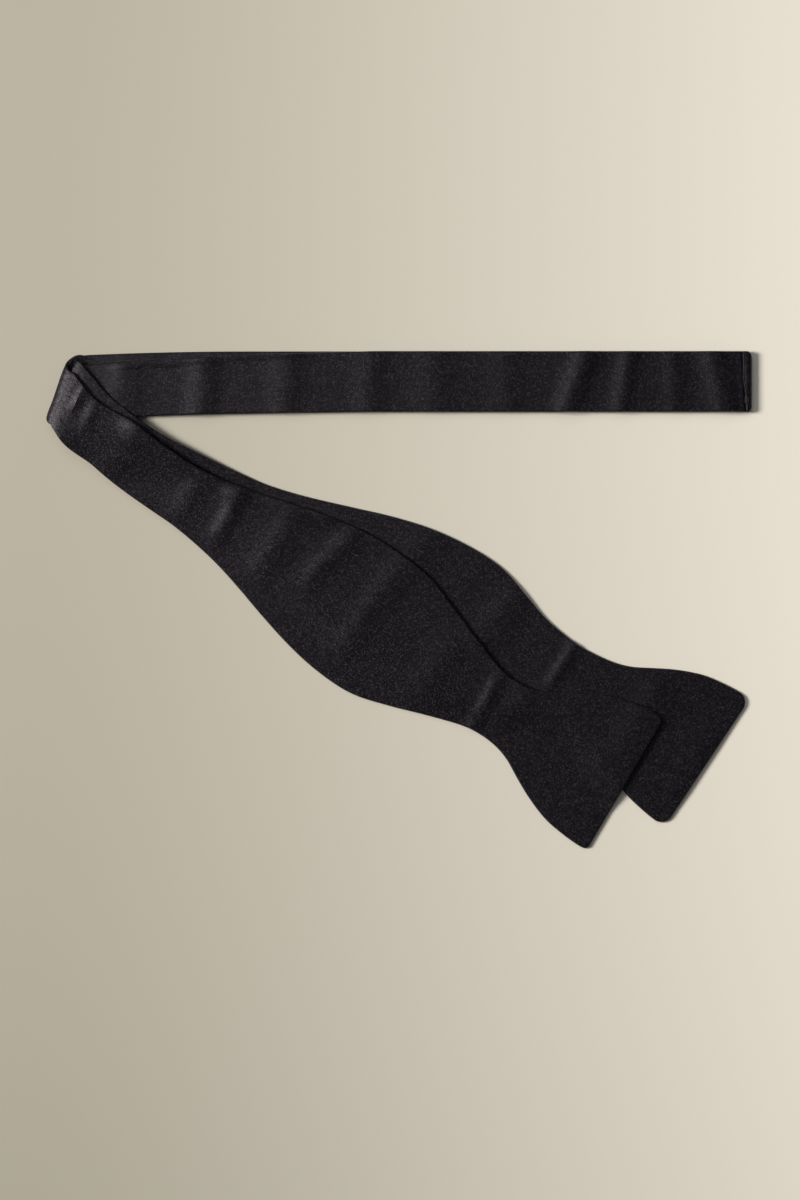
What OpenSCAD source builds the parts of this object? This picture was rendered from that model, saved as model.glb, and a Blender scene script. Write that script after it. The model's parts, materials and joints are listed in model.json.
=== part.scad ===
// Untied self-tie bow tie, laid flat: folded in half at the centre back, with both half bands
// turned over together at a slanting fold so that the two blades lie side by side on top.
// Origin: middle of the outline on the surface that the tie lies on. +Z up, bands along X.

/* [Band] */
// Width of the neck band
band_w = 22; // [19:0.5:24]
// Distance from the origin to the far side of the centre-back bend
band_end_x = 126.5; // [120:0.5:130]
// Distance from the origin to the upper edge of the band
band_top_y = 89.5; // [88:0.5:91]
// Distance from the centre-back bend's far side to the seam
seam_inset = 2.9; // [2.5:0.1:8]

/* [Blades] */
// Width of each blade at its square tip
tip_w = 55; // [50:1:58]
// Width at the waist, where the knot sits
waist_w = 23.4; // [21:0.2:26]
// Width of the belly, the wide part behind the waist
belly_w = 52; // [46:1:54]
// Distance from the tip to the waist
waist_at = 54; // [50:1:58]
// Distance from the tip to the widest part of the belly
belly_at = 114; // [108:1:120]
// Distance from the tip to where the blade has narrowed to the band
blade_len = 196; // [190:1:205]
// Radius of the corners at the tip
tip_r = 2.5; // [1.5:0.5:5]

/* [Cloth] */
// Thickness of each satin panel
satin_t = 0.3; // [0.2:0.05:0.4]
// Thickness of the interlining between the panels
lining_t = 0.8; // [0.6:0.1:1]
// Width of the sewn lip where the two panels meet
lip_w = 0.5; // [0.4:0.1:0.8]
// Air between two layers that lie on each other
ply_gap = 0.2; // [0.1:0.05:0.3]

/* [Fold] */
// Direction of the slanting fold, from +X
fold_angle = 65; // [60:1:70]
// Length of the fold along its own line
fold_len = 22.5; // [21:0.5:24]

/* [Stitches] */
// Number of stitches across the centre-back seam
stitch_count = 7; // [5:1:9]
// Length of each stitch
stitch_len = 2.2; // [1.2:0.1:2.6]
// Diameter of the seam thread
thread_d = 0.36; // [0.3:0.02:0.4]

/* [Hidden] */

satin = [0.09, 0.085, 0.1];
canvas = [0.85, 0.82, 0.74];
thread = [0.05, 0.05, 0.06];

// A ply is one half of the tie: a satin panel, the interlining and the other panel.
ply_t = 2 * satin_t + lining_t;
mid_t = ply_t / 2;
pitch = ply_t + ply_gap;
stack_t = 4 * ply_t + 3 * ply_gap;
axis_z = stack_t / 2;

band_bot_y = band_top_y - band_w;
bend_r = ply_t + ply_gap / 2;
bend_x = band_end_x - bend_r;
bend_z = bend_r;
seam_x = band_end_x - seam_inset;
bend_return = bend_x - seam_x;

// The fold turns about this line; the blades lie on its right.
fold_at = [-119.4, 75.6];
fold_r = 2 * ply_t + 1.5 * ply_gap;

// The blades lie at full height over the band, then sink to the surface below it.
sink_from_y = band_bot_y - 3.5;
sink_to_y = band_bot_y - 28;
sink_steps = 8;

// Half widths of the blade's cut, by distance from the tip.
cut = [
    [0, tip_w / 2], [4, tip_w / 2 + 0.2], [11, tip_w / 2 - 0.5], [19, tip_w / 2 - 2.1],
    [28, 21.6], [35, 17.8], [41, 14.3], [47, 12.3], [waist_at, waist_w / 2],
    [61, 12.6], [74, 16.8], [87, 21.4], [100, belly_w / 2 - 0.7], [belly_at, belly_w / 2],
    [128, belly_w / 2 - 1.5], [142, 21.2], [156, 17.3], [170, 13.9], [183, 11.8],
    [blade_len, band_w / 2], [blade_len + 40, band_w / 2]
];

// Middle lines of the laid blades, from the tip back past the fold.
outer_line = [
    [81.2, -66.2], [58, -52.6], [36.4, -39.4], [18.5, -27.6], [-4.5, -12], [-27, 4.8],
    [-49, 19.8], [-67, 31], [-84, 41.7], [-98.4, 52.2], [-109.6, 63.2], [-119.6, 76], [-129, 88.5]
];
inner_line = [
    [110, -58.2], [88.2, -43.8], [66, -30.4], [41, -20], [15.8, -5.4], [-8.2, 8.4],
    [-31, 20.6], [-54, 31.8], [-75.6, 42.2], [-94.2, 52], [-108.2, 63.2], [-119.4, 76], [-129, 87.5]
];
line_steps = 4;

// Near the fold the inner band swings down and narrows a little, and the outer band less.
inner_sag = 5;
outer_sag = 1.6;
lower_edge_share = 0.6;
sag_from_x = -20;

function lerp(a, b, t) = a + (b - a) * t;
function unit(v) = v / norm(v);
function turned(v) = [-v[1], v[0]];
function reversed(p) = [for (i = [len(p) - 1 : -1 : 0]) p[i]];

// A smooth curve through points, with line_steps pieces between each two.
function knot(p, i) = p[max(0, min(len(p) - 1, i))];
function curve_at(p, i, t) =
    let (a = knot(p, i - 1), b = knot(p, i), c = knot(p, i + 1), d = knot(p, i + 2))
    0.5 * (2 * b + (c - a) * t + (2 * a - 5 * b + 4 * c - d) * t * t
        + (3 * b - a - 3 * c + d) * t * t * t);
function curve(p) = concat(
    [for (i = [0 : len(p) - 2], k = [0 : line_steps - 1]) curve_at(p, i, k / line_steps)],
    [p[len(p) - 1]]);

// Distance along a line of points, and the cut's half width at a distance.
function travel(p) = [for (i = 0, s = 0; i < len(p);
    i = i + 1, s = i < len(p) ? s + norm(p[i] - p[i - 1]) : s) s];
function half_width(s) = lookup(s, cut_curve);
cut_curve = curve(cut);

function heading(p, i) = unit(p[min(i + 1, len(p) - 1)] - p[max(i - 1, 0)]);

// The blade's outline, drawn in from its edges and its tip by inset.
function blade_outline(route, inset) =
    let (p = curve(route), s = travel(p), n = len(p) - 1)
    concat(
        tip_corner(p, inset, 1),
        [for (i = [1 : n]) p[i] + turned(heading(p, i)) * (half_width(s[i]) - inset)],
        [for (i = [n : -1 : 1]) p[i] - turned(heading(p, i)) * (half_width(s[i]) - inset)],
        reversed(tip_corner(p, inset, -1)));

// One rounded corner of the tip, from its end round to its side.
function tip_corner(p, inset, side) =
    let (ahead = heading(p, 0), out = side * turned(ahead), r = tip_r - inset)
    let (centre = p[0] + ahead * tip_r + out * (tip_w / 2 - tip_r))
    [for (a = [0 : 18 : 90]) centre + r * (out * sin(a) - ahead * cos(a))];

// How far the band has swung down at x.
function swing(x, sag) = let (t = max(0, (sag_from_x - x) / 100)) sag * t * t;
function band_outline(sag, inset, right_x) = concat(
    [for (x = [-140 : 12 : sag_from_x]) [x, band_top_y - inset - swing(x, sag)]],
    [[right_x, band_top_y - inset], [right_x, band_bot_y + inset]],
    [for (x = [sag_from_x : -12 : -140])
        [x, band_bot_y + inset - lower_edge_share * swing(x, sag)]]);

// Height of a blade's underside above its lowest level, across Y.
function ease(t) = t * t * (3 - 2 * t);
function sink_y(k) = lerp(sink_to_y, sink_from_y, k / sink_steps);

// All that lies on the right of the fold line.
module right_of_fold() {
    translate([fold_at[0], fold_at[1], -1])
        rotate([0, 0, fold_angle])
            translate([-200, -400, 0])
                cube([400, 400, stack_t + 2]);
}

// A slab between heights a and b of a ply, level over the band and sunk beyond it.
module laid_slab(high, low, a, b) {
    steps = [for (k = [0 : sink_steps])
        [sink_y(k), lerp(low, high, ease(k / sink_steps))]];
    bottom = concat([[-100, low]], steps, [[100, high]]);
    rotate([90, 0, 90])
        translate([0, 0, -140])
            linear_extrude(280)
                polygon(concat(
                    [for (p = bottom) [p[0], p[1] + a]],
                    [for (i = [len(bottom) - 1 : -1 : 0]) [bottom[i][0], bottom[i][1] + b]]));
}

// One layer of a blade between heights a and b of its ply, drawn in by inset.
module blade_layer(route, high, low, a, b, inset) {
    intersection() {
        laid_slab(high, low, a, b);
        linear_extrude(stack_t + 1) polygon(blade_outline(route, inset));
    }
}

// A layer less the hollow in it: one satin panel with its sewn lip.
module blade_panel(route, high, low, a, b, hollow_a, hollow_b) {
    intersection() {
        difference() {
            blade_layer(route, high, low, a, b, 0);
            blade_layer(route, high, low, hollow_a, hollow_b, lip_w);
        }
        right_of_fold();
    }
}

module blade_filling(route, high, low) {
    intersection() {
        blade_layer(route, high, low, satin_t, satin_t + lining_t, lip_w + thread_d + 0.1);
        right_of_fold();
    }
}

// The thread of the edge seam, just inside the lip.
module blade_thread(route, high, low) {
    intersection() {
        difference() {
            blade_layer(route, high, low, mid_t - thread_d / 2, mid_t + thread_d / 2,
                lip_w + 0.05);
            blade_layer(route, high, low, mid_t - thread_d, mid_t + thread_d,
                lip_w + 0.05 + thread_d);
        }
        right_of_fold();
    }
}

module blade_front_panel(route, high, low) {
    color(satin) blade_panel(route, high, low, mid_t, ply_t, 0, ply_t - satin_t);
}

module blade_back_panel(route, high, low) {
    color(satin) blade_panel(route, high, low, 0, mid_t, satin_t, ply_t);
}

// Inner band: a flat ply from the fold to the centre-back seam.
module inner_band_layer(a, b, inset) {
    translate([0, 0, pitch + a])
        linear_extrude(b - a) polygon(band_outline(inner_sag, inset, seam_x));
}

// Outer band: a flat ply, a half turn at the centre back, and a short return to the seam.
module outer_band_layer(a, b, inset) {
    translate([0, 0, a])
        linear_extrude(b - a) polygon(band_outline(outer_sag, inset, bend_x));
    translate([bend_x, band_top_y - inset, bend_z])
        rotate([90, 0, 0])
            linear_extrude(band_w - 2 * inset)
                half_ring(bend_r - b, bend_r - a);
    translate([seam_x, band_bot_y + inset, 2 * bend_r - b])
        cube([bend_return, band_w - 2 * inset, b - a]);
}

// The right half of a ring.
module half_ring(r_in, r_out) {
    intersection() {
        difference() {
            circle(r_out, $fn = 48);
            circle(r_in, $fn = 48);
        }
        translate([0, -r_out - 1]) square(2 * r_out + 2);
    }
}

module outer_band_panel(a, b, hollow_a, hollow_b) {
    color(satin) intersection() {
        difference() {
            outer_band_layer(a, b, 0);
            outer_band_layer(hollow_a, hollow_b, lip_w);
        }
        right_of_fold();
    }
}

module inner_band_panel(a, b, hollow_a, hollow_b) {
    color(satin) intersection() {
        difference() {
            inner_band_layer(a, b, 0);
            inner_band_layer(hollow_a, hollow_b, lip_w);
        }
        right_of_fold();
    }
}

// The slanting fold: half rings about the fold line, r measured from it.
module fold_ring(r_in, r_out, inset) {
    translate([fold_at[0], fold_at[1], axis_z])
        rotate([0, 0, fold_angle - 90])
            translate([0, fold_len / 2 - inset, 0])
                rotate([90, 0, 0])
                    linear_extrude(fold_len - 2 * inset)
                        mirror([1, 0]) half_ring(r_in, r_out);
}

module fold_panel(r_in, r_out, hollow_in, hollow_out) {
    color(satin) difference() {
        fold_ring(r_in, r_out, 0);
        fold_ring(hollow_in, hollow_out, lip_w);
    }
}

// The two plies' radii at the fold: the inner half turns inside the outer half.
inner_fold_in = ply_gap / 2;
inner_fold_out = inner_fold_in + ply_t;
outer_fold_in = inner_fold_out + ply_gap;
outer_fold_out = fold_r;

// Outer half of the tie
module outer_band_front_panel() outer_band_panel(0, mid_t, satin_t, ply_t);
module outer_band_back_panel() outer_band_panel(mid_t, ply_t, 0, ply_t - satin_t);
module outer_band_interlining() {
    color(canvas) intersection() {
        outer_band_layer(satin_t, satin_t + lining_t, lip_w + thread_d + 0.1);
        right_of_fold();
    }
}
module outer_band_edge_thread() {
    color(thread) band_threads(outer_sag, 0, bend_x);
}
module outer_fold_front_panel() {
    fold_panel(outer_fold_in + mid_t, outer_fold_out, outer_fold_in, outer_fold_out - satin_t);
}
module outer_fold_back_panel() {
    fold_panel(outer_fold_in, outer_fold_in + mid_t, outer_fold_in + satin_t, outer_fold_out);
}
module outer_fold_interlining() {
    color(canvas) fold_ring(outer_fold_in + satin_t, outer_fold_out - satin_t, lip_w + 0.1);
}
module outer_blade_front_panel() blade_front_panel(outer_line, 3 * pitch, pitch);
module outer_blade_back_panel() blade_back_panel(outer_line, 3 * pitch, pitch);
module outer_blade_interlining() color(canvas) blade_filling(outer_line, 3 * pitch, pitch);
module outer_blade_edge_thread() color(thread) blade_thread(outer_line, 3 * pitch, pitch);

// Inner half of the tie
module inner_band_front_panel() inner_band_panel(0, mid_t, satin_t, ply_t);
module inner_band_back_panel() inner_band_panel(mid_t, ply_t, 0, ply_t - satin_t);
module inner_band_interlining() {
    color(canvas) intersection() {
        inner_band_layer(satin_t, satin_t + lining_t, lip_w + thread_d + 0.1);
        right_of_fold();
    }
}
module inner_band_edge_thread() {
    color(thread) band_threads(inner_sag, pitch, seam_x);
}
module inner_fold_front_panel() {
    fold_panel(inner_fold_in + mid_t, inner_fold_out, inner_fold_in, inner_fold_out - satin_t);
}
module inner_fold_back_panel() {
    fold_panel(inner_fold_in, inner_fold_in + mid_t, inner_fold_in + satin_t, inner_fold_out);
}
module inner_fold_interlining() {
    color(canvas) fold_ring(inner_fold_in + satin_t, inner_fold_out - satin_t, lip_w + 0.1);
}
module inner_blade_front_panel() blade_front_panel(inner_line, 2 * pitch, 0);
module inner_blade_back_panel() blade_back_panel(inner_line, 2 * pitch, 0);
module inner_blade_interlining() color(canvas) blade_filling(inner_line, 2 * pitch, 0);
module inner_blade_edge_thread() color(thread) blade_thread(inner_line, 2 * pitch, 0);

// Two runs of seam thread along a band, one inside each edge.
module band_threads(sag, z, right_x) {
    intersection() {
        translate([0, 0, z + mid_t - thread_d / 2])
            linear_extrude(thread_d)
                difference() {
                    polygon(band_outline(sag, lip_w + 0.05, right_x));
                    polygon(band_outline(sag, lip_w + 0.05 + thread_d, right_x + 1));
                }
        right_of_fold();
    }
}

// A row of stitches along the seam between the two halves, lying on the band.
module centre_back_stitches() {
    color(thread) for (i = [0 : stitch_count - 1])
        translate([seam_x, lerp(band_bot_y + 2, band_top_y - 2, i / (stitch_count - 1)),
            2 * bend_r + thread_d / 2])
            rotate([90, 0, 0])
                cylinder(d = thread_d, h = stitch_len, center = true, $fn = 16);
}

outer_band_front_panel();
outer_band_interlining();
outer_band_back_panel();
outer_band_edge_thread();
outer_fold_front_panel();
outer_fold_interlining();
outer_fold_back_panel();
outer_blade_front_panel();
outer_blade_interlining();
outer_blade_back_panel();
outer_blade_edge_thread();
inner_band_front_panel();
inner_band_interlining();
inner_band_back_panel();
inner_band_edge_thread();
inner_fold_front_panel();
inner_fold_interlining();
inner_fold_back_panel();
inner_blade_front_panel();
inner_blade_interlining();
inner_blade_back_panel();
inner_blade_edge_thread();
centre_back_stitches();
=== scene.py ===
import json
import math

import bmesh
import bpy
import numpy as np
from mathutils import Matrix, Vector


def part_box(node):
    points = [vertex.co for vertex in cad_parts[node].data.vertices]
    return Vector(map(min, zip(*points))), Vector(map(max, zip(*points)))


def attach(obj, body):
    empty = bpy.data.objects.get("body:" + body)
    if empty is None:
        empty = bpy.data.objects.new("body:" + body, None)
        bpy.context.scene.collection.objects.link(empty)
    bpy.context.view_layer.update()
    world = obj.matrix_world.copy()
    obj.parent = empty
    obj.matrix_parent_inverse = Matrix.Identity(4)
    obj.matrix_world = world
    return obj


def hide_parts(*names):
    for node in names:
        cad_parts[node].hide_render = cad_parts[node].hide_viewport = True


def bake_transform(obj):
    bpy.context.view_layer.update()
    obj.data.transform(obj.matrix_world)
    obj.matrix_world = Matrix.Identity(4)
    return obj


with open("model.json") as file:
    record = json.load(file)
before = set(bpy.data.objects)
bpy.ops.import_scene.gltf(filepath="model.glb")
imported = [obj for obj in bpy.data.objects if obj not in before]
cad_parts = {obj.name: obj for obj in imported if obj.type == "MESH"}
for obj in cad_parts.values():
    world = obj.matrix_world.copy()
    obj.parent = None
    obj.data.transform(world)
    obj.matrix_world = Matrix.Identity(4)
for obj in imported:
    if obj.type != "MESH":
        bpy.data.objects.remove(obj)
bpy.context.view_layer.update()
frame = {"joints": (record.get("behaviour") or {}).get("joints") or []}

scene = bpy.context.scene
mm = 0.001  # lengths below are in millimetres until a mesh is made


def ease(t):
    t = np.clip(t, 0.0, 1.0)
    return t * t * (3 - 2 * t)


def smoothLine(points, per):
    # a smooth line through given points, with so many pieces between each two
    p = np.array(points, float)
    t = np.arange(per)[:, None] / per
    out = []
    for i in range(len(p) - 1):
        a, b, c, d = p[max(i - 1, 0)], p[i], p[i + 1], p[min(i + 2, len(p) - 1)]
        out.append(0.5 * (2 * b + (c - a) * t + (2 * a - 5 * b + 4 * c - d) * t * t
                          + (3 * b - a - 3 * c + d) * t * t * t))
    return np.concatenate(out + [p[-1:]])


def lengths(line):
    return np.concatenate([[0], np.cumsum(np.linalg.norm(np.diff(line, axis=0), axis=1))])


def pick(line, at, wanted):
    return np.stack([np.interp(wanted, at, line[:, k]) for k in range(line.shape[1])], axis=-1)


def boxOf(node):
    low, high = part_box(node)
    return np.array(low) / mm, np.array(high) / mm


hinge = frame["joints"][0]
foldRun = -np.array(hinge["axis"][:2])  # along the fold, towards the band's upper edge
foldOut = np.array([foldRun[1], -foldRun[0]])  # away from the fold, towards the blades
foldAt = np.array(hinge["pos_m"][:2]) / mm + foldOut  # the cloth turns 1 mm in from the hinge

cloth = {
    "thick": boxOf("inner_band_back_panel")[1][2] - boxOf("inner_band_front_panel")[0][2],
    "pitch": boxOf("inner_band_front_panel")[0][2],
    "satin": 0.3,
    "filling": 0.76,
    "fillingShort": {"blade": 1.2, "fold": 3, "band": 3},  # the filling stops this short of the ends
    "press": 0.9,  # how much of its thinning an edge is pressed down by
    "seamThick": 0.35,  # the cloth's thickness at the centre-back seam, as a share
    "seamOver": 0.9,  # and how far from the seam it is whole again
    "edgeRound": 0.6,  # how far in from its edge the cloth has its full thickness
    "edgeSteps": [0, 0.05, 0.17, 0.37, 0.62, 0.9, 1.5, 2.3],
    "middleSteps": 34,
}
half = cloth["thick"] / 2

pattern = {
    "cut": [  # half width of a blade by distance from its tip
        (0, 27.5), (4, 27.7), (11, 27), (19, 25.4), (28, 21.6), (35, 17.8), (41, 14.3),
        (47, 12.3), (54, 11.7), (61, 12.6), (74, 16.8), (87, 21.4), (100, 25.3), (114, 26),
        (128, 24.7), (142, 21.7), (156, 17.8), (170, 14.2), (183, 11.9), (196, 11), (236, 11),
    ],
    "rowStep": 1.1,
    "tipRows": [0, 0.05, 0.17, 0.37, 0.62, 0.9, 1.4, 2.0, 2.8, 3.8],
    "evenFrom": 5,  # rows are evenly spaced from here on
    "neckFrom": 150,  # from here on a blade is near the fold
    "leanFrom": 0.62,  # past this share of its length its rows turn to lie along the fold
}

band = {
    "top": boxOf("inner_band_back_panel")[1][1],
    "width": 22.0,
    "end": boxOf("outer_band_front_panel")[1][0],
    "seam": boxOf("inner_band_back_panel")[1][0],
    "seamSlant": 0.7,  # the seam leans this much each way from its middle
    "corner": 1.6,
    "rowStep": 1.3,
    "endRows": [3.2, 2.4, 1.7, 1.1, 0.7, 0.4, 0.2, 0.08, 0],
    "bendSteps": 12,
    "backRows": [0.9, 0.6, 0.35, 0.2, 0.08, 0],
    "leanOver": 34,  # rows by the fold lie along it, and stand upright this much further on
    "slantOver": 16,
    "from": -136.0,  # its edges are drawn from beyond the fold
    "foldSide": -80,  # left of this it is near the fold
    "underShare": 0.35,  # the outer half's band has this share of the inner one's ridges
    "swingFrom": -54,  # left of this the band swings down
    "swingOver": 51,  # by 1 mm where it is this much further left
    "innerSwingFrom": -9,  # the inner half swings down more
    "innerSwing": (0.024, 0.0001),  # by its distance and by its distance squared
    "roundFrom": -112,  # the outer half's upper corner is rounded off at the fold
    "roundOver": 9,
    "roundDrop": 2.6,
}

fold = {
    "leg": 5.0,  # the fold's own cloth runs this far onto the band and the blade
    "legRows": 6,
    "ringSteps": 18,
    "tuckFrom": 26,  # an edge is drawn in from this far out
    "tuckOver": 22,
    "spreadFrom": 24,
    "spreadOver": 12,
    "spreadEnd": 4,
    "spreadFade": 16,
    "sinkFrom": band["top"] - band["width"] - 3.5,  # blades sink from the band to the table
    "sinkTo": band["top"] - band["width"] - 28,
    "sinkOver": 12,
    "calmTo": 8,  # no ridges this near to the fold
    "calmOver": 14,
    "bandCalmTo": 6,
    "bandCalmOver": 10,
    "stackFrom": 28,  # nearer than this the outer blade lies a layer higher
    "stackOver": 16,
    "drape": 11,  # it comes down over this much beyond the inner blade's outline
    "crumpleFrom": 0.5,
    "crumpleOver": 4,
}


def outOfFold(p):
    return (p[..., 0] - foldAt[0]) * foldOut[0] + (p[..., 1] - foldAt[1]) * foldOut[1]


def upFold(p):
    return (p[..., 0] - foldAt[0]) * foldRun[0] + (p[..., 1] - foldAt[1]) * foldRun[1]


outer = {
    "name": "outer",
    "line": [
        (81.2, -66.2), (58, -52.6), (36.4, -39.4), (18.5, -27.6), (-4.5, -12), (-27, 4.8),
        (-49, 19.8), (-67, 31), (-84, 41.7), (-98.4, 52.2), (-109.6, 63.2), (-119.6, 76),
        (-129, 88.5),
    ],
    "tipCorners": (1.9, 3.4),  # at the lower and the upper edge
    "tuck": 5.4,  # the upper edge is drawn in this much at the fold
    "spread": 2.2,  # and the lower edge pushed out
    "bandZ": half,
    "bladeZ": half + 3 * cloth["pitch"],
    "bulge": (1.0, 1.6),  # the fold's outward swell at its lower and upper end
    "waves": [  # soft ridges: from x, y to x, y, then width and height
        (36, -27, 24, -50, 2.4, 0.8),
        (50, -28, 34, -48, 5.0, 0.5),
        (22, -12, 4, -38, 6.0, 0.55),
        (-2, 10, -22, -20, 5.0, 0.6),
        (-16, 24, -34, 6, 4.0, 0.75),
        (-37, 32, -52, 8, 5.0, 0.7),
        (-56, 40, -66, 22, 3.0, 0.9),
        (-70, 46, -80, 30, 4.0, 0.6),
        (-94, 58, -108, 44, 6.0, 0.5),
        (-98, 63, -58, 37, 3.5, 1.4),
        (-62, 38.5, -24, 29, 3.5, 0.9),
    ],
    "crumples": [  # short folds where the drawn-in edge buckles
        (-116.5, 80.0, -120.5, 72.5, 1.2, 0.55),
        (-112.8, 76.0, -117.5, 68.5, 1.3, 0.65),
        (-108.5, 70.5, -113.0, 62.5, 1.8, 0.55),
    ],
}

inner = {
    "name": "inner",
    "line": [
        (110.6, -58.6), (88.2, -43.8), (66, -30.4), (41, -20), (15.8, -5.4), (-8.2, 8.4),
        (-31, 20.6), (-54, 31.8), (-75.6, 42.2), (-94.2, 52), (-108.2, 63.2), (-119.4, 76),
        (-129, 87.5),
    ],
    "tipCorners": (4.2, 4.2),
    "tuck": 1.2,
    "spread": 0.0,
    "bandZ": half + cloth["pitch"],
    "bladeZ": half + 2 * cloth["pitch"],
    "bulge": (1.1, 1.2),
    "waves": [
        (64, -15, 53, -32, 2.2, 0.8),
        (94, -30, 78, -56, 6.0, 0.6),
        (112, -46, 98, -70, 5.0, 0.4),
        (44, 4, 26, -18, 6.0, 0.6),
        (12, 24, -2, 8, 6.0, 0.5),
    ],
    "bandWaves": [
        (-98, 92, -102, 60, 7.0, 0.9),
        (-70, 92, -72, 60, 5.0, 1.0),
        (-40, 92, -42, 60, 5.5, 0.8),
        (-10, 92, -12, 60, 5.0, 0.7),
        (12, 92, 12, 60, 6.0, 0.6),
        (38, 92, 38, 60, 5.0, 0.5),
        (68, 92, 57, 60, 4.2, 1.5),
        (83, 92, 78, 60, 3.2, 1.1),
        (98, 92, 99, 60, 3.4, 0.6),
        (112, 92, 118, 60, 4.4, 1.3),
        (-114, 83.0, -30, 89.2, 1.3, 0.5),
    ],
}


def bladeEdges(side):
    line = smoothLine(side["line"], 12)
    s = lengths(line)
    cut = smoothLine(pattern["cut"], 8)
    width = np.interp(s, cut[:, 0], cut[:, 1])
    ahead = np.gradient(line, axis=0)
    ahead /= np.linalg.norm(ahead, axis=1)[:, None]
    turned = np.stack([-ahead[:, 1], ahead[:, 0]], axis=1)
    out = outOfFold(line)
    tuck = side["tuck"] * ease((fold["tuckFrom"] - out) / fold["tuckOver"])[:, None]
    pushed = (ease((fold["spreadFrom"] - out) / fold["spreadOver"])
              * ease((out + fold["spreadEnd"]) / fold["spreadFade"]))
    spread = side["spread"] * pushed[:, None]
    low = line + turned * (width[:, None] + spread)
    up = line - turned * (width[:, None] - tuck)
    return {"s": s, "low": low, "up": up, "near": s > pattern["neckFrom"]}


def bandEdges(side):
    # both halves swing down towards the fold, the inner one more
    x = np.arange(band["from"], band["end"] + 6, 1.0)
    swing = np.clip((band["swingFrom"] - x) / band["swingOver"], 0, None) ** 2
    rounded = 0
    if side is inner:
        more = np.clip(band["innerSwingFrom"] - x, 0, None)
        swing = swing + band["innerSwing"][0] * more + band["innerSwing"][1] * more ** 2
    else:
        rounded = band["roundDrop"] * ease((band["roundFrom"] - x) / band["roundOver"])
    low = np.stack([x, band["top"] - band["width"] - 0.5 * swing], axis=1)
    up = np.stack([x, band["top"] - swing - rounded], axis=1)
    return {"s": x, "low": low, "up": up, "near": x < band["foldSide"]}


def crossing(edges, which, out):
    # where an edge is this far out from the fold line
    line, s = edges[which][edges["near"]], edges["s"][edges["near"]]
    far = outOfFold(line)
    order = np.argsort(far)
    return np.interp(out, far[order], s[order])


ridgeEnd = 5  # a ridge fades out over this much each way at its ends


def ridges(x, y, waves):
    z = np.zeros_like(x)
    for x1, y1, x2, y2, width, height in waves:
        run = np.array([x2 - x1, y2 - y1])
        size = np.linalg.norm(run)
        run = run / size
        along = (x - x1) * run[0] + (y - y1) * run[1]
        off = (x - x1) * -run[1] + (y - y1) * run[0]
        fade = (ease((along + ridgeEnd) / (2 * ridgeEnd))
                * ease((size + ridgeEnd - along) / (2 * ridgeEnd)))
        z += height * np.exp(-(off / width) ** 2) * fade
    return z


def insideOf(x, y, outline):
    # distance to a closed outline, positive inside it
    p = np.stack([x.ravel(), y.ravel()], axis=1)
    a, b = outline, np.roll(outline, -1, axis=0)
    near = np.full(len(p), np.inf)
    crossings = np.zeros(len(p), int)
    for (ax, ay), (bx, by) in zip(a, b):
        dx, dy = bx - ax, by - ay
        t = np.clip(((p[:, 0] - ax) * dx + (p[:, 1] - ay) * dy) / (dx * dx + dy * dy + 1e-12), 0, 1)
        near = np.minimum(near, np.hypot(p[:, 0] - ax - t * dx, p[:, 1] - ay - t * dy))
        if ay != by:
            over = (ay > p[:, 1]) != (by > p[:, 1])
            crossings += over & (p[:, 0] < ax + (p[:, 1] - ay) * dx / dy)
    return np.where(crossings % 2 == 1, near, -near).reshape(x.shape)


innerEdges = bladeEdges(inner)
innerOutline = np.concatenate([innerEdges["low"][::6], innerEdges["up"][::-6]])


def bladeHeight(side, x, y):
    # the middle of a blade: level at the fold and over the band, then down on the table
    out = outOfFold(np.stack([x, y], axis=-1))
    sunk = (ease((fold["sinkFrom"] - y) / (fold["sinkFrom"] - fold["sinkTo"]))
            * ease((out - 1) / fold["sinkOver"]))
    calm = ease((out - fold["calmTo"]) / fold["calmOver"])
    z = inner["bladeZ"] + (half - inner["bladeZ"]) * sunk
    innerWaves = ridges(x, y, inner["waves"]) * calm
    if side is inner:
        return z + innerWaves
    over = np.maximum(ease((insideOf(x, y, innerOutline) + fold["drape"]) / (fold["drape"] + 0.5)),
                      ease((fold["stackFrom"] - out) / fold["stackOver"]))
    crumple = (ridges(x, y, outer["crumples"])
               * ease((out - fold["crumpleFrom"]) / fold["crumpleOver"]))
    return z + (cloth["pitch"] + innerWaves) * over + ridges(x, y, outer["waves"]) * calm + crumple


def bandHeight(side, x, y):
    out = outOfFold(np.stack([x, y], axis=-1))
    calm = ease((out - fold["bandCalmTo"]) / fold["bandCalmOver"]) * ease((band["seam"] - x) / 5)
    waves = ridges(x, y, inner["bandWaves"]) * calm
    return side["bandZ"] + (waves if side is inner else band["underShare"] * waves)


noEnd = 99  # how far a row is from a sewn end, where there is none


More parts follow.
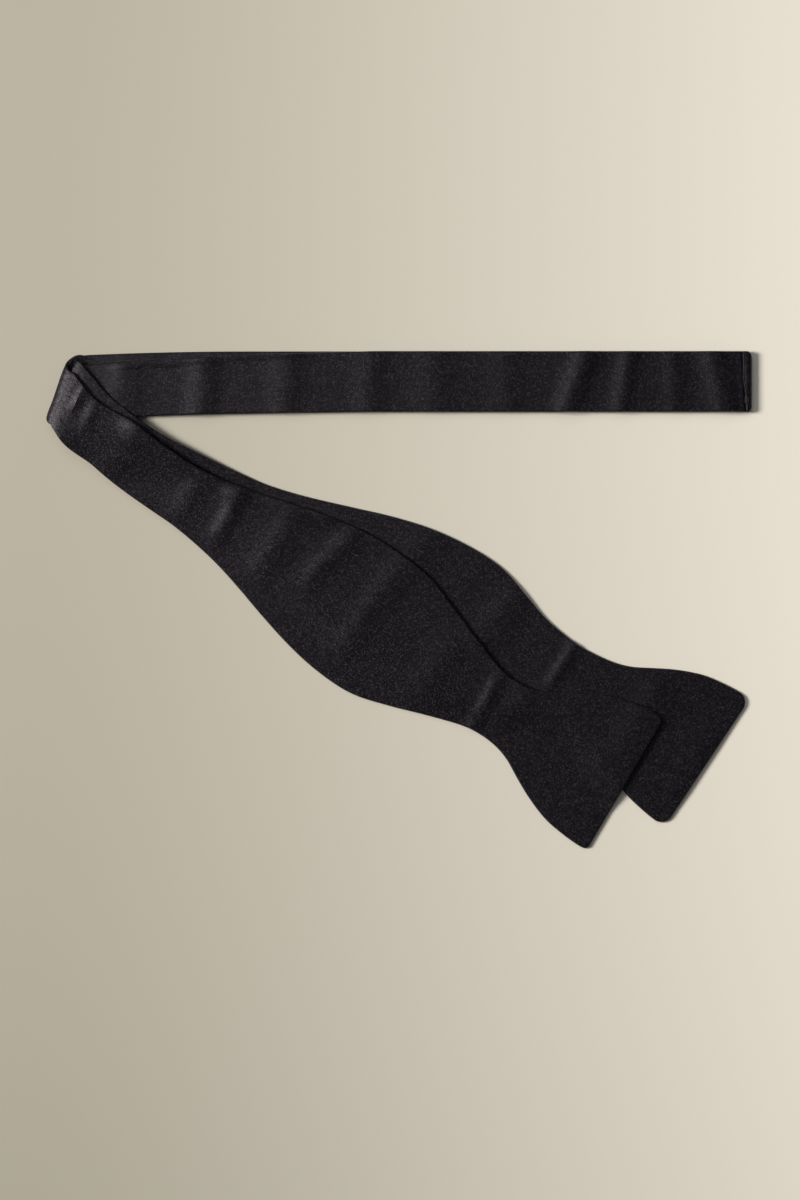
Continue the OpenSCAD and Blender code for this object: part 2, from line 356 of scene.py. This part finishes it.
def buildRows(side):
    # rows of cloth from the blade's tip, round the fold, along the band to the centre back
    blade, bands = bladeEdges(side), bandEdges(side)
    leg = fold["leg"]
    rows = {"low": [], "up": [], "end": [], "part": [], "turn": []}

    def add(low, up, end, part, turn=None):
        rows["low"].append(low)
        rows["up"].append(up)
        rows["end"].append(end)
        rows["part"].append(part)
        rows["turn"].append(turn)

    # blade, from its tip
    lowEnd, upEnd = crossing(blade, "low", leg), crossing(blade, "up", leg)
    middle, skew = (lowEnd + upEnd) / 2, (lowEnd - upEnd) / 2
    even = np.linspace(pattern["evenFrom"], middle,
                       round((middle - pattern["evenFrom"]) / pattern["rowStep"]))
    for s in pattern["tipRows"] + list(even):
        lean = skew * ease((s / middle - pattern["leanFrom"]) / (1 - pattern["leanFrom"]))
        low = pick(blade["low"], blade["s"], s + lean)
        up = pick(blade["up"], blade["s"], s - lean)
        drawn = [r - math.sqrt(r * r - max(r - s, 0) ** 2) for r in side["tipCorners"]]
        inward = (up - low) / np.linalg.norm(up - low)
        add(low + inward * drawn[0], up - inward * drawn[1], (s, *drawn), "blade")

    # the fold: a leg off the blade, the turn, and a leg on the band
    for out in np.linspace(leg, 0, fold["legRows"])[1:]:
        add(pick(blade["low"], blade["s"], crossing(blade, "low", out)),
            pick(blade["up"], blade["s"], crossing(blade, "up", out)), (noEnd, 0, 0), "fold")
    lowTop, upTop = rows["low"][-1], rows["up"][-1]
    lowUnder = pick(bands["low"], bands["s"], crossing(bands, "low", 0.0))
    upUnder = pick(bands["up"], bands["s"], crossing(bands, "up", 0.0))
    for k in range(1, fold["ringSteps"]):
        turn = k / fold["ringSteps"]
        mix = ease(turn) ** 1.5
        add(lowTop + (lowUnder - lowTop) * mix, upTop + (upUnder - upTop) * mix,
            (noEnd, 0, 0), "fold", turn)
    for out in np.linspace(0, leg, fold["legRows"]):
        add(pick(bands["low"], bands["s"], crossing(bands, "low", out)),
            pick(bands["up"], bands["s"], crossing(bands, "up", out)), (noEnd, 0, 0), "fold2")

    # band, to the centre back
    lowStart, upStart = crossing(bands, "low", leg), crossing(bands, "up", leg)
    start, skew = (lowStart + upStart) / 2, (lowStart - upStart) / 2
    if side is inner:
        final = band["seam"]
    else:
        final = band["end"] - cloth["thick"] - 0.1  # where the centre-back bend begins
    xs = list(np.linspace(start, final - 4, round((final - 4 - start) / band["rowStep"])))[1:]
    xs += [final - d for d in band["endRows"]]
    leanOver, slantOver = band["leanOver"], band["slantOver"]
    for x in xs:
        lean = skew * ease((start + leanOver - x) / leanOver)
        slant = band["seamSlant"] * ease((x - final + slantOver) / slantOver) if side is inner else 0
        add(pick(bands["low"], bands["s"], x + lean + slant),
            pick(bands["up"], bands["s"], x - lean - slant),
            (final - x if side is inner else noEnd, 0, 0), "band")
    if side is outer:
        addBend(add, bands, final)
    return rows


def addBend(add, bands, bendX):
    # the outer half turns up round the centre back and comes back to the seam
    radius = cloth["pitch"] / 2
    slant = band["seamSlant"]
    for k in range(1, band["bendSteps"] + 1):
        turn = k / band["bendSteps"]
        x = bendX + radius * math.sin(math.pi * turn)
        addEnd(add, bands, x, half * math.sin(math.pi * turn), turn)
    for far in band["backRows"]:
        reach = (bendX - band["seam"]) * far
        low = pick(bands["low"], bands["s"], band["seam"] + reach + slant * (1 - far))
        up = pick(bands["up"], bands["s"], band["seam"] + reach - slant * (1 - far))
        add(low, up, (reach, 0, 0), "band", ("back", 0))


def addEnd(add, bands, x, swell, turn):
    # a row of the bend, drawn in where the band's corners are rounded
    corner = band["corner"]
    past = x + swell - (band["end"] - corner)
    drawn = corner - math.sqrt(max(corner ** 2 - max(past, 0) ** 2, 0)) if past > 0 else 0
    low = pick(bands["low"], bands["s"], x) + np.array([0, drawn])
    up = pick(bands["up"], bands["s"], x) - np.array([0, drawn])
    add(low, up, (noEnd, 0, 0), "band", ("bend", turn))


bulge = {"from": -10, "over": 18, "closeFrom": -8.5, "closeOver": 6.5}


def foldBulge(side, up):
    # the turn's outward reach, as a share of its height: it grows up the fold, and closes at
    # its lower end
    lower, upper = side["bulge"]
    reach = lower + (upper - lower) * ease((up - bulge["from"]) / bulge["over"])
    ends = np.clip((bulge["closeFrom"] - up) / bulge["closeOver"], 0, 1)
    return reach * np.sqrt(np.clip(1 - ends ** 2, 0.01, 1))


def turnCloth(side, row, turn, x, y, middleZ, radius):
    # moves a row of the fold out to its turn, and returns its heights
    leg = fold["leg"]
    reach = leg + foldBulge(side, upFold(row)) * radius
    first = np.arccos(leg / reach)
    angle = first * (1 - 2 * turn)  # up from the turn's outermost line
    out = reach * np.cos(angle) - leg
    x -= foldOut[0] * out
    y -= foldOut[1] * out
    return middleZ + radius * np.sin(angle)


def downOf(part, turn):
    # which way down is, along the side of the cloth that is up on a blade
    if isinstance(turn, float):
        return -math.cos(math.pi * turn)
    if turn is not None:
        return math.cos(math.pi * turn[1]) if turn[0] == "bend" else -1
    return -1 if part in ("blade", "fold") else 1


def layCloth(side):
    rows = buildRows(side)
    low, up = np.array(rows["low"]), np.array(rows["up"])
    wide = np.linalg.norm(up - low, axis=1)[:, None]
    steps = np.array(cloth["edgeSteps"])
    inside = np.linspace(0, 1, cloth["middleSteps"] + 2)[1:-1]
    edge = steps[None, :] / wide
    share = np.concatenate([edge, edge[:, -1:] + (1 - 2 * edge[:, -1:]) * inside[None, :],
                            1 - edge[:, ::-1]], axis=1)
    flat = low[:, None, :] + (up - low)[:, None, :] * share[..., None]
    x, y = flat[..., 0], flat[..., 1]

    parts = np.array(rows["part"])
    onBlade = (parts == "blade") | (parts == "fold")
    z = np.where(onBlade[:, None], bladeHeight(side, x, y), bandHeight(side, x, y))
    middleZ = (side["bladeZ"] + side["bandZ"]) / 2
    radius = (side["bladeZ"] - side["bandZ"]) / 2
    for i, turn in enumerate(rows["turn"]):
        if isinstance(turn, float):
            z[i] = turnCloth(side, flat[i], turn, x[i], y[i], middleZ, radius)
        elif parts[i] == "fold" or parts[i] == "fold2":
            # the legs already dip towards the turn
            far = np.clip(1 - outOfFold(flat[i]) / fold["leg"], 0, 1)
            reach = fold["leg"] + foldBulge(side, upFold(flat[i])) * radius
            dip = radius * (1 - np.sqrt(1 - (far * fold["leg"] / reach) ** 2))
            z[i] = z[i] - dip if parts[i] == "fold" else z[i] + dip
        elif turn is not None and turn[0] == "bend":
            z[i] = half + cloth["pitch"] / 2 * (1 - math.cos(math.pi * turn[1]))
        elif turn is not None:
            z[i] = half + cloth["pitch"]
    middle = np.stack([x, y, z], axis=-1)

    # how deep each point lies inside the cloth's sewn edges
    end = np.array([e[0] for e in rows["end"]])[:, None]
    drawn = np.array([e[1:] for e in rows["end"]])
    onLow = share < 0.5
    sideways = np.where(onLow, share * wide + drawn[:, :1], (1 - share) * wide + drawn[:, 1:])
    corner = np.where(onLow, *side["tipCorners"])
    rounded = corner - np.hypot(corner - end, corner - sideways)
    depth = np.where((end < corner) & (sideways < corner), rounded, np.minimum(end, sideways))
    isTip = (parts == "blade")[:, None]
    depth = np.where(isTip, depth, sideways)
    thick = half * np.sqrt(1 - (1 - np.clip(depth / cloth["edgeRound"], 0, 1)) ** 2)
    rise = np.sqrt(1 - (1 - np.clip(end / cloth["seamOver"], 0, 1)) ** 2)
    seam = cloth["seamThick"] + (1 - cloth["seamThick"]) * rise
    thick = np.where(isTip, thick, thick * seam)

    facing = np.cross(np.gradient(middle, axis=0), np.gradient(middle, axis=1))
    facing /= np.linalg.norm(facing, axis=-1)[..., None] + 1e-12
    bladeFacing = facing[np.flatnonzero(parts == "blade")]
    if bladeFacing[len(bladeFacing) // 2, facing.shape[1] // 2, 2] < 0:
        facing = -facing  # it looks up on the blade
    # the edges press down on what they lie on
    down = np.array([downOf(part, turn) for part, turn in zip(parts, rows["turn"])])
    middle = middle + facing * (down[:, None] * (half - thick) * cloth["press"])[..., None]
    travel = lengths(middle[:, middle.shape[1] // 2])
    grain = np.stack([(share - 0.5) * wide, np.broadcast_to(travel[:, None], share.shape)], axis=-1)
    bladeRows = np.flatnonzero(parts == "blade")
    foldRows = np.flatnonzero((parts == "fold") | (parts == "fold2"))
    return {
        "middle": middle, "facing": facing, "thick": thick, "grain": grain, "end": end,
        "blade": slice(0, bladeRows[-1] + 1),
        "fold": slice(bladeRows[-1], foldRows[-1] + 1),
        "band": slice(foldRows[-1], len(parts)),
    }


print("laying the cloth")
laid = {"outer": layCloth(outer), "inner": layCloth(inner)}


def gridPlace(v, shape):
    # the row and column of a grid's vertex
    return divmod(v.index, shape[1])


def clothGrid(points, grain):
    rows, cols = points.shape[:2]
    bm = bmesh.new()
    bmesh.ops.create_grid(bm, x_segments=cols - 1, y_segments=rows - 1, size=0.5)
    bm.verts.index_update()
    uv = bm.loops.layers.uv.new("cloth")
    for f in bm.faces:
        for loop in f.loops:
            loop[uv].uv = grain[gridPlace(loop.vert, points.shape)] * mm
    for v in bm.verts:
        v.co = Vector(points[gridPlace(v, points.shape)] * mm)
    return bm


def meshOf(bm, name):
    mesh = bpy.data.meshes.new(name)
    bm.to_mesh(mesh)
    bm.free()
    return mesh


def asPiece(mesh, name):
    mesh.name = name
    for p in mesh.polygons:
        p.use_smooth = True
    piece = bpy.data.objects.new(name, mesh)
    scene.collection.objects.link(piece)
    return piece


def finishCloth(bm, name, inward, shape):
    # gives the sheet its thickness: a second sheet set inward, and a rim round both
    outside = bm.faces[:]
    copy = bmesh.ops.duplicate(bm, geom=outside)
    for v, twin in copy["vert_map"].items():
        if 0 <= v.index < shape[0] * shape[1]:  # a vertex of the first sheet
            twin.co += Vector(inward[gridPlace(v, shape)] * mm)
    inside = [g for g in copy["geom"] if isinstance(g, bmesh.types.BMFace)]
    bmesh.ops.reverse_faces(bm, faces=inside)
    rims = [e for e in bm.edges if e.is_boundary]
    for e in rims:
        e.smooth = False
    bmesh.ops.bridge_loops(bm, edges=rims)
    return asPiece(meshOf(bm, name), name)


def satinPanel(side, part, face):
    lay = laid[side["name"]]
    rows = lay[part]
    way = 1 if face == "front" else -1
    points = (lay["middle"] + way * lay["facing"] * lay["thick"][..., None])[rows]
    bm = clothGrid(points, lay["grain"][rows])
    faceOutward(bm, points, lay["facing"][rows] * way)
    wall = np.clip(lay["thick"][rows] * 0.9, 0.03, cloth["satin"])  # thinner at the sewn edges
    inward = -way * lay["facing"][rows] * wall[..., None]
    return finishCloth(bm, f"{side['name']}_{part}_{face}_satin", inward, points.shape)


def faceOutward(bm, points, outward):
    # faces look away from the cloth's own middle
    bm.normal_update()
    bm.faces.ensure_lookup_table()
    f = bm.faces[len(bm.faces) // 2]
    if f.normal.dot(Vector(outward[gridPlace(f.verts[0], points.shape)])) < 0:
        bmesh.ops.reverse_faces(bm, faces=bm.faces[:])


def filling(side, part):
    # the interlining lies between the panels, drawn in from the sewn edges
    lay = laid[side["name"]]
    rows = lay[part]
    inset = int(np.searchsorted(cloth["edgeSteps"], 1.0))
    cols = slice(inset, -inset)
    middle, facing = lay["middle"][rows, cols], lay["facing"][rows, cols]
    kept = lay["end"][rows, 0] > cloth["fillingShort"][part]
    points = (middle + facing * cloth["filling"] / 2)[kept]
    bm = clothGrid(points, lay["grain"][rows, cols][kept])
    faceOutward(bm, points, facing[kept])
    inward = -facing[kept] * cloth["filling"]
    return finishCloth(bm, f"{side['name']}_{part}_filling", inward, points.shape)


pointsPerStitch = 4
dipped = 0.62  # a thread's share of its radius where it dips into the cloth


def stitchLine(name, path, radius, stitch):
    # a sewn thread: thin where it dips between two stitches
    s = lengths(path)
    at = np.arange(0, s[-1], stitch / pointsPerStitch)
    points = pick(path, s, at)
    curve = bpy.data.curves.new(name, "CURVE")
    curve.dimensions = "3D"
    curve.bevel_depth = radius * mm
    curve.bevel_resolution = 1
    curve.use_fill_caps = True
    line = curve.splines.new("POLY")
    line.points.add(len(points) - 1)
    for k, (point, q) in enumerate(zip(line.points, points)):
        point.co = (*(q * mm), 1)
        point.radius = dipped if k % pointsPerStitch == 0 else 1
    holder = bpy.data.objects.new(name, curve)
    mesh = bpy.data.meshes.new_from_object(holder)
    bpy.data.objects.remove(holder)
    return asPiece(mesh, name)


sewn = {
    "step": 4,  # the seam runs this many of the cloth's lines in from the edge
    "radius": 0.12,
    "stitch": 2.2,
    "outerShort": 6,  # rows that the band's seam stops short of the centre back
    "innerShort": 3,
}


def edgeThread(side, part):
    # the seam that joins the panels runs just inside their edge
    lay = laid[side["name"]]
    rows = lay[part]
    k = sewn["step"]
    grid = lay["middle"][rows]
    name = f"{side['name']}_{part}_seam_thread"
    if part == "blade":
        path = np.concatenate([grid[:k:-1, k], grid[k, k:-k], grid[k:, -1 - k]])
        return stitchLine(name, path, sewn["radius"], sewn["stitch"])
    inset = grid[1:-(sewn["outerShort"] if side is outer else sewn["innerShort"])]
    lines = [stitchLine(name, inset[:, j], sewn["radius"], sewn["stitch"]) for j in (k, -1 - k)]
    return joined(name, lines)


def joined(name, pieces):
    bm = bmesh.new()
    for piece in pieces:
        bm.from_mesh(piece.data)
        bpy.data.objects.remove(piece)
    return asPiece(meshOf(bm, name), name)


closing = {  # hand stitches along the centre-back seam, with a slack loop at its lower end
    "radius": 0.14,
    "stitch": 2.6,
    "bob": 0.14,  # how much it rises in each stitch
    "slack": 0.55,  # how high the loop stands
    "strands": [
        [(123.2, 88.9), (123.35, 85), (123.3, 81), (123.55, 78.4), (124.0, 75.8), (124.4, 74.3),
         (125.0, 72.2), (125.1, 71.0), (124.75, 69.6), (124.9, 67.9)],
        [(124.3, 74.6), (124.05, 73.2), (123.9, 71.6), (124.2, 70.4), (124.7, 69.5)],
    ],
}


def closingStitches():
    lines = []
    top = half + cloth["pitch"] + half + closing["radius"] * 0.6 - 0.08
    for k, strand in enumerate(closing["strands"]):
        plan = smoothLine(strand, 8)
        s = lengths(plan)
        bob = closing["bob"] * np.abs(np.sin(math.pi * s / closing["stitch"]))
        lift = closing["slack"] * np.sin(math.pi * s / s[-1]) if k else 0
        path = np.column_stack([plan, top + bob + lift])
        lines.append(stitchLine("closing", path, closing["radius"], closing["stitch"]))
    return joined("centre_back_closing_thread", lines)


view = {"lens": 110, "sensor": 36, "height": 1.32}  # straight down from above, in metres

camera = bpy.data.objects.new("camera", bpy.data.cameras.new("camera"))
scene.collection.objects.link(camera)
camera.data.lens = view["lens"]
camera.data.sensor_width = view["sensor"]
camera.data.clip_start = 0.01
camera.location = (0, 0, view["height"])
scene.camera = camera

bm = bmesh.new()
bmesh.ops.create_grid(bm, x_segments=1, y_segments=1, size=4)
table = bpy.data.objects.new("table", meshOf(bm, "table"))
scene.collection.objects.link(table)

lamps = {
    "window": {"at": (-0.86, 0.15, 0.68), "size": 0.36, "power": 17.8, "tint": (1.0, 0.985, 0.97)},
    "fill": {"at": (-0.5, 1.7, 2.2), "size": 1.6, "power": 10.8, "tint": (0.97, 0.98, 1.0)},
}
scene.view_settings.view_transform = "Standard"
for name, lamp in lamps.items():
    light = bpy.data.lights.new(name, "AREA")
    light.energy, light.size, light.color = lamp["power"], lamp["size"], lamp["tint"]
    holder = bpy.data.objects.new(name, light)
    holder.location = lamp["at"]
    holder.rotation_euler = (-Vector(lamp["at"])).to_track_quat("-Z", "Y").to_euler()
    scene.collection.objects.link(holder)

room = {"Color": (0.9, 0.93, 1.0, 1), "Strength": 0.14}  # the room's own soft light

world = bpy.data.worlds.new("studio")
world.use_nodes = True
for key, value in room.items():
    world.node_tree.nodes["Background"].inputs[key].default_value = value
scene.world = world
print("camera, table and lamps set")


class Wire:
    # one socket of a shader, so that sums on it are written as sums
    def __init__(self, tree, socket):
        self.tree, self.socket = tree, socket

    def calc(self, operation, *values):
        return addNode(self.tree, "ShaderNodeMath", {"operation": operation}, dict(enumerate(values)))

    def __add__(self, other):
        return self.calc("ADD", self, other)

    def __sub__(self, other):
        return self.calc("SUBTRACT", self, other)

    def __rsub__(self, other):
        return self.calc("SUBTRACT", other, self)

    def __mul__(self, other):
        return self.calc("MULTIPLY", self, other)

    def __truediv__(self, other):
        return self.calc("DIVIDE", self, other)

    __radd__, __rmul__ = __add__, __mul__

    def floor(self):
        return self.calc("FLOOR", self)

    def part(self):
        return self.calc("FRACT", self)

    def size(self):
        return self.calc("ABSOLUTE", self)

    def wave(self):
        return self.calc("SINE", self)

    def atMost(self, other):
        return self.calc("MINIMUM", self, other)


def addNode(tree, kind, settings=None, sockets=None, out=0):
    # any node: its settings first, then the values or links of its sockets
    node = tree.nodes.new(kind)
    for key, value in (settings or {}).items():
        setattr(node, key, value)
    for key, value in (sockets or {}).items():
        if isinstance(value, Wire):
            tree.links.new(value.socket, node.inputs[key])
        else:
            node.inputs[key].default_value = value
    return Wire(tree, node.outputs[out])


def newMaterial(name, **constants):
    material = bpy.data.materials.new(name)
    material.use_nodes = True
    tree = material.node_tree
    shader = next(n for n in tree.nodes if n.type == "BSDF_PRINCIPLED")
    for key, value in constants.items():
        shader.inputs[key].default_value = value
    return material, tree, shader


def mixed(tree, share, dark, light, settings=None):
    # a colour between two, by share
    return addNode(tree, "ShaderNodeMix", {"data_type": "RGBA", **(settings or {})},
                   {0: share, 6: dark, 7: light}, out=2)


def bumped(tree, shader, height, strength, distance):
    bump = addNode(tree, "ShaderNodeBump", None,
                   {"Strength": strength, "Distance": distance, "Height": height})
    tree.links.new(bump.socket, shader.inputs["Normal"])


def clothAxes(tree):
    # across and along the cloth, in metres
    uv = addNode(tree, "ShaderNodeUVMap", {"uv_map": "cloth"})
    apart = addNode(tree, "ShaderNodeSeparateXYZ", None, {0: uv})
    return apart, Wire(tree, apart.socket.node.outputs[1]), uv


satinLook = {
    "thread": 0.2 * mm,
    "pebble": 0.36 * mm,  # the size of the fine light and dark specks
    "dark": (0.0008, 0.0006, 0.0010, 1),
    "light": (0.035, 0.0285, 0.0365, 1),
    "tilt": 2.0,  # how unevenly the threads lie
    "depth": 0.024 * mm,
    "rough": 0.48,
}


def satinMaterial():
    look = satinLook
    material, tree, shader = newMaterial("black satin", **{
        "Sheen Weight": 0.015, "Sheen Roughness": 0.4, "Sheen Tint": (0.8, 0.74, 0.9, 1),
        "Specular IOR Level": 0.205, "Specular Tint": (1.0, 0.93, 1.0, 1),
    })
    across, along, uv = clothAxes(tree)
    warp, weft = across / look["thread"], along / look["thread"]
    column = warp.floor()
    # a thread floats over four others and dips under the fifth, two on in each next column
    step = (weft + column * 2) / 5
    ridge = (warp * math.pi).wave().size()
    dip = 1 - ((step.part() - 0.5).size() * 5).atMost(1)
    cell = addNode(tree, "ShaderNodeCombineXYZ", None, {0: column, 1: step.floor()})
    chance = addNode(tree, "ShaderNodeTexWhiteNoise", {"noise_dimensions": "2D"}, {"Vector": cell})
    deeper = addNode(tree, "ShaderNodeCombineXYZ", None, {0: column, 1: step.floor(), 2: 7.0})
    other = addNode(tree, "ShaderNodeTexWhiteNoise", {"noise_dimensions": "3D"}, {"Vector": deeper})
    lump = across / look["pebble"]
    place = addNode(tree, "ShaderNodeCombineXYZ", None,
                    {0: lump.floor(), 1: (along / look["pebble"] + lump.floor() * 0.4).floor()})
    pebble = addNode(tree, "ShaderNodeTexWhiteNoise", {"noise_dimensions": "2D"}, {"Vector": place})
    cloudy = addNode(tree, "ShaderNodeTexNoise", None,
                     {"Vector": uv, "Scale": 45.0, "Detail": 3.0, "Roughness": 0.5})
    grit = addNode(tree, "ShaderNodeTexNoise", None,
                   {"Vector": uv, "Scale": 3600.0, "Detail": 1.0, "Roughness": 0.5})
    tilt = (chance - 0.5) * (warp.part() - 0.5) + (other - 0.5) * (step.part() - 0.5) * 2.5
    height = ridge * (1 - dip * 0.7) * 0.6 + tilt * look["tilt"] + grit * 1.1
    tone = pebble.calc("POWER", pebble, 6) * 0.9 + chance * chance * 0.08 + cloudy * 0.03
    colour = mixed(tree, tone, look["dark"], look["light"])
    tree.links.new(colour.socket, shader.inputs["Base Color"])
    rough = look["rough"] - other * 0.14 - cloudy * 0.04
    tree.links.new(rough.socket, shader.inputs["Roughness"])
    bumped(tree, shader, height, 1.0, look["depth"])
    return material


canvasLook = {
    "yarn": 0.45 * mm,
    "dark": (0.62, 0.56, 0.45, 1),
    "light": (0.78, 0.73, 0.62, 1),
    "depth": 0.1 * mm,
}


def canvasMaterial():
    look = canvasLook
    material, tree, shader = newMaterial("natural canvas", Roughness=0.9)
    across, along, uv = clothAxes(tree)
    warp = (across / look["yarn"] * math.pi).wave()
    weft = (along / look["yarn"] * math.pi).wave()
    tone = addNode(tree, "ShaderNodeTexNoise", None, {"Vector": uv, "Scale": 300.0, "Detail": 2.0})
    colour = mixed(tree, tone, look["dark"], look["light"])
    tree.links.new(colour.socket, shader.inputs["Base Color"])
    bumped(tree, shader, (warp * weft).size(), 0.6, look["depth"])
    return material


threadLook = {
    "twist": 1400.0,
    "dark": (0.004, 0.0035, 0.005, 1),
    "light": (0.02, 0.018, 0.023, 1),
    "depth": 0.05 * mm,
}


def threadMaterial():
    look = threadLook
    material, tree, shader = newMaterial("black thread", Roughness=0.55)
    place = addNode(tree, "ShaderNodeTexCoord", out=3)
    twist = addNode(tree, "ShaderNodeTexWave", {"bands_direction": "DIAGONAL"},
                    {"Vector": place, "Scale": look["twist"], "Distortion": 1.0})
    colour = mixed(tree, twist, look["dark"], look["light"])
    tree.links.new(colour.socket, shader.inputs["Base Color"])
    bumped(tree, shader, twist, 0.5, look["depth"])
    return material


# the table's colour is painted light and shade: a gradient from darker on the left to lighter on the
# right, standing in for how the light falls across it
tablePaintedLight = {
    "left": (0.338, 0.309, 0.241, 1),
    "right": (0.925, 0.862, 0.73, 1),
    "reach": 0.15,  # the painted light changes this far each way from the middle, in metres
    "bend": 1.5,  # and slower at the left, where the painted shade is
}


def paintedLightTable():
    look = tablePaintedLight
    material, tree, shader = newMaterial("table with painted light", Roughness=0.85)
    place = addNode(tree, "ShaderNodeTexCoord", out=3)
    apart = addNode(tree, "ShaderNodeSeparateXYZ", None, {0: place})
    share = addNode(tree, "ShaderNodeMapRange", None,
                    {"Value": apart, "From Min": -look["reach"], "From Max": look["reach"]})
    across = share.calc("POWER", share, look["bend"])
    # painted shade on the left, painted light on the right
    colour = mixed(tree, across, look["left"], look["right"], {"clamp_factor": True})
    tree.links.new(colour.socket, shader.inputs["Base Color"])
    return material


satin, canvas, thread = satinMaterial(), canvasMaterial(), threadMaterial()
table.data.materials.append(paintedLightTable())
print("materials made")


def flatSize(side, part):
    lay = laid[side["name"]]
    grid = lay["middle"][lay[part]]
    a, b = np.diff(grid, axis=0)[:, :-1], np.diff(grid, axis=1)[:-1]
    area = np.linalg.norm(np.cross(a, b), axis=-1).sum()
    wide = np.linalg.norm(grid[:, -1] - grid[:, 0], axis=1).max()
    long = lengths(grid[:, grid.shape[1] // 2])[-1]
    return wide, long, min(area, wide * long)


legGap = 0.02  # the fold's unused start and end points lie this far outside a leg's cloth


def dress(piece, side, part, node, material, isSheet=True):
    piece.data.materials.append(material)
    if part == "fold":
        # the fold is baked in place; points at its band and blade legs are worked out, but nothing
        # uses them
        start = (*foldAt * mm, (side["bandZ"] + half + legGap) * mm)
        end = (*foldAt * mm, (side["bladeZ"] - half - legGap) * mm)
        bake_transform(piece)
    else:
        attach(piece, "neckband" if part == "band" else f"{side['name']}_blade")
    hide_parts(node)
    if isSheet:
        wide, long, area = flatSize(side, part)


for side in (outer, inner):
    for part in ("band", "fold", "blade"):
        for face in ("front", "back"):
            piece = satinPanel(side, part, face)
            dress(piece, side, part, f"{side['name']}_{part}_{face}_panel", satin)
        piece = filling(side, part)
        dress(piece, side, part, f"{side['name']}_{part}_interlining", canvas)
        if part != "fold":
            piece = edgeThread(side, part)
            dress(piece, side, part, f"{side['name']}_{part}_edge_thread", thread, False)
    print(side["name"], "half made")

closingThread = closingStitches()
closingThread.data.materials.append(thread)
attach(closingThread, "neckband")
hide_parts("centre_back_stitches")
print("threads sewn")
